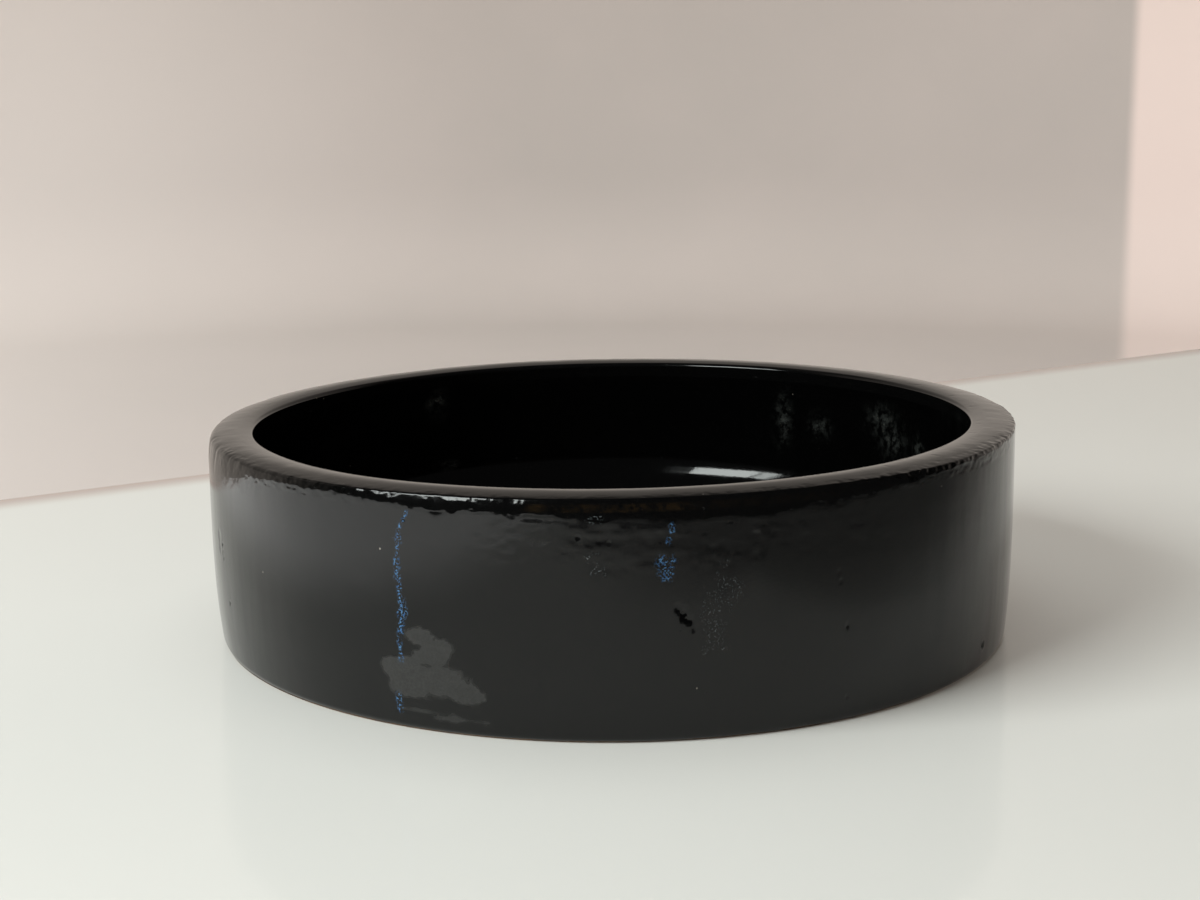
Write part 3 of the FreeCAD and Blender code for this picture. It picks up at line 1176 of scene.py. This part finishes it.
def reflector(name, corners, faces, colour):
    """Card that only reflections see. Its finish comes back, to be given a strength."""
    made = staged(name, corners, faces)
    made.visible_camera = False
    made.visible_diffuse = False
    made.visible_shadow = False
    made.visible_transmission = False
    finish = Finish(name)
    finish.feed(finish.shader.inputs["Base Color"], rgba(0, 0, 0))
    finish.feed(finish.shader.inputs["Emission Color"], colour)
    dress(made, finish.material)
    return finish


# What the glaze mirrors behind the pot: a pale wall between these bearings. It fades above
# the picture, again high up, and from the back to the front, each between places in metres.
WALL_FROM = 84
WALL_TO = 288
WALL_AWAY = 1220.0
WALL_LOW = -400.0
WALL_TOP = 2400.0
WALL_FADES = (0.29, 0.48)
WALL_DUSK = (0.85, 1.25)
WALL_BACK = (-0.17, 0.53)


def wall_card():
    """Curved card behind the pot, bright below and dark above."""
    around = np.radians(np.arange(WALL_FROM, WALL_TO + 1, 6))
    foot = [(WALL_AWAY * math.sin(a), -WALL_AWAY * math.cos(a), WALL_LOW) for a in around]
    points = foot + [(x, y, WALL_TOP) for x, y, _ in foot]
    count = len(around)
    faces = [(i, i + 1, i + 1 + count, i + count) for i in range(count - 1)]
    finish = reflector("wall_card", points, faces, linear(200, 190, 180))
    height = finish.node("ShaderNodeSeparateXYZ")
    finish.feed(height.inputs["Vector"], finish.place)
    strength = finish.ramp(height.outputs["Z"], *WALL_FADES, 1.0, 0.62)
    dusk = finish.ramp(height.outputs["Z"], *WALL_DUSK, 1.0, 0.3)
    ahead = finish.plus(height.outputs["Y"], finish.times(height.outputs["X"], -0.15))
    strength = finish.times(strength, dusk, finish.ramp(ahead, *WALL_BACK))
    finish.feed(finish.shader.inputs["Emission Strength"], strength)


wall_card()

# Window behind the camera on the left, in degrees as seen from the pot: where its curtain,
# its panes and the bar between them are, its sill and head, and how far these two sink with
# each degree further left. It stands this many millimetres away.
CURTAIN_FROM = 24.0
WINDOW_FROM = 34.0
WINDOW_BAR = 60.0
BAR_HALF = 0.7
WINDOW_TO = 67.0
WINDOW_SILL = 27.5
WINDOW_HEAD = 44.0
WINDOW_SINK = 0.17
WINDOW_AWAY = 1600.0


def seen_at(left, up, away):
    """A place at an angle to the left of the front and above the horizon."""
    side, rise = math.radians(left), math.radians(up)
    return (
        -away * math.cos(rise) * math.sin(side),
        -away * math.cos(rise) * math.cos(side),
        away * math.sin(rise),
    )


def pane(name, start, end, strength):
    """One bright pane of the window, which the glaze mirrors and nothing mirrors again."""
    corners = [(start, WINDOW_SILL), (end, WINDOW_SILL), (end, WINDOW_HEAD), (start, WINDOW_HEAD)]
    sunk = [(left, up - WINDOW_SINK * (left - WINDOW_FROM)) for left, up in corners]
    places = [seen_at(left, up, WINDOW_AWAY) for left, up in sunk]
    finish = reflector(name, places, [(0, 1, 2, 3)], linear(246, 253, 250))
    mirrored_once = finish.math(
        "LESS_THAN", finish.node("ShaderNodeLightPath").outputs["Glossy Depth"], 1.5
    )
    finish.feed(finish.shader.inputs["Emission Strength"], finish.times(mirrored_once, strength))


pane("window_pane_wide", WINDOW_FROM, WINDOW_BAR - BAR_HALF, strength=16.0)
pane("window_pane_narrow", WINDOW_BAR + BAR_HALF, WINDOW_TO, strength=13.0)
pane("window_curtain", CURTAIN_FROM, WINDOW_FROM, strength=0.4)


def soft_light(name, place, target, width, depth, power):
    """Rectangular softbox aimed at a point, in metres and watts, that nothing mirrors."""
    data = bpy.data.lights.new(name, "AREA")
    data.shape = "RECTANGLE"
    data.size, data.size_y = width, depth
    data.energy = power
    made = bpy.data.objects.new(name, data)
    bpy.context.scene.collection.objects.link(made)
    made.location = place
    made.rotation_euler = (Vector(target) - Vector(place)).to_track_quat("-Z", "Y").to_euler()
    made.visible_glossy = False
    made.visible_camera = False


# The light from the window: degrees to the left and up as seen from the pot, and metres away
LIGHT_LEFT = 57.0
LIGHT_RISE = 31.0
LIGHT_AWAY = 2.2
window_place = seen_at(LIGHT_LEFT, LIGHT_RISE, LIGHT_AWAY)
soft_light("window_light", window_place, (0, 0, 0.03), width=1.4, depth=0.9, power=64.0)
soft_light("ceiling_fill", (-0.25, 0.2, 1.9), (0, 0.1, 0), width=1.8, depth=1.8, power=11.2)

world = bpy.data.worlds.new("room")
world.use_nodes = True
world.node_tree.nodes["Background"].inputs["Color"].default_value = rgba(0.05, 0.05, 0.05)
world.node_tree.nodes["Background"].inputs["Strength"].default_value = 1.0
scene = bpy.context.scene
scene.world = world
scene.view_settings.view_transform = "Standard"

# Camera: tilt down, roll and lens
CAMERA_TILT = math.radians(11.2811)
CAMERA_ROLL = math.radians(-0.4775)
CAMERA_LENS = 55.8

camera_data = bpy.data.cameras.new("camera")
camera_data.sensor_width = 36.0
camera_data.lens = CAMERA_LENS
camera = bpy.data.objects.new("camera", camera_data)
scene.collection.objects.link(camera)
forward = Vector((0, math.cos(CAMERA_TILT), -math.sin(CAMERA_TILT)))
level_right = Vector((1, 0, 0))
level_up = level_right.cross(forward)
right = math.cos(CAMERA_ROLL) * level_right + math.sin(CAMERA_ROLL) * level_up
up = right.cross(forward)
axes = Matrix((right, up, -forward)).transposed().to_4x4()
camera.matrix_world = Matrix.Translation(CAMERA_PLACE) @ axes
scene.camera = camera
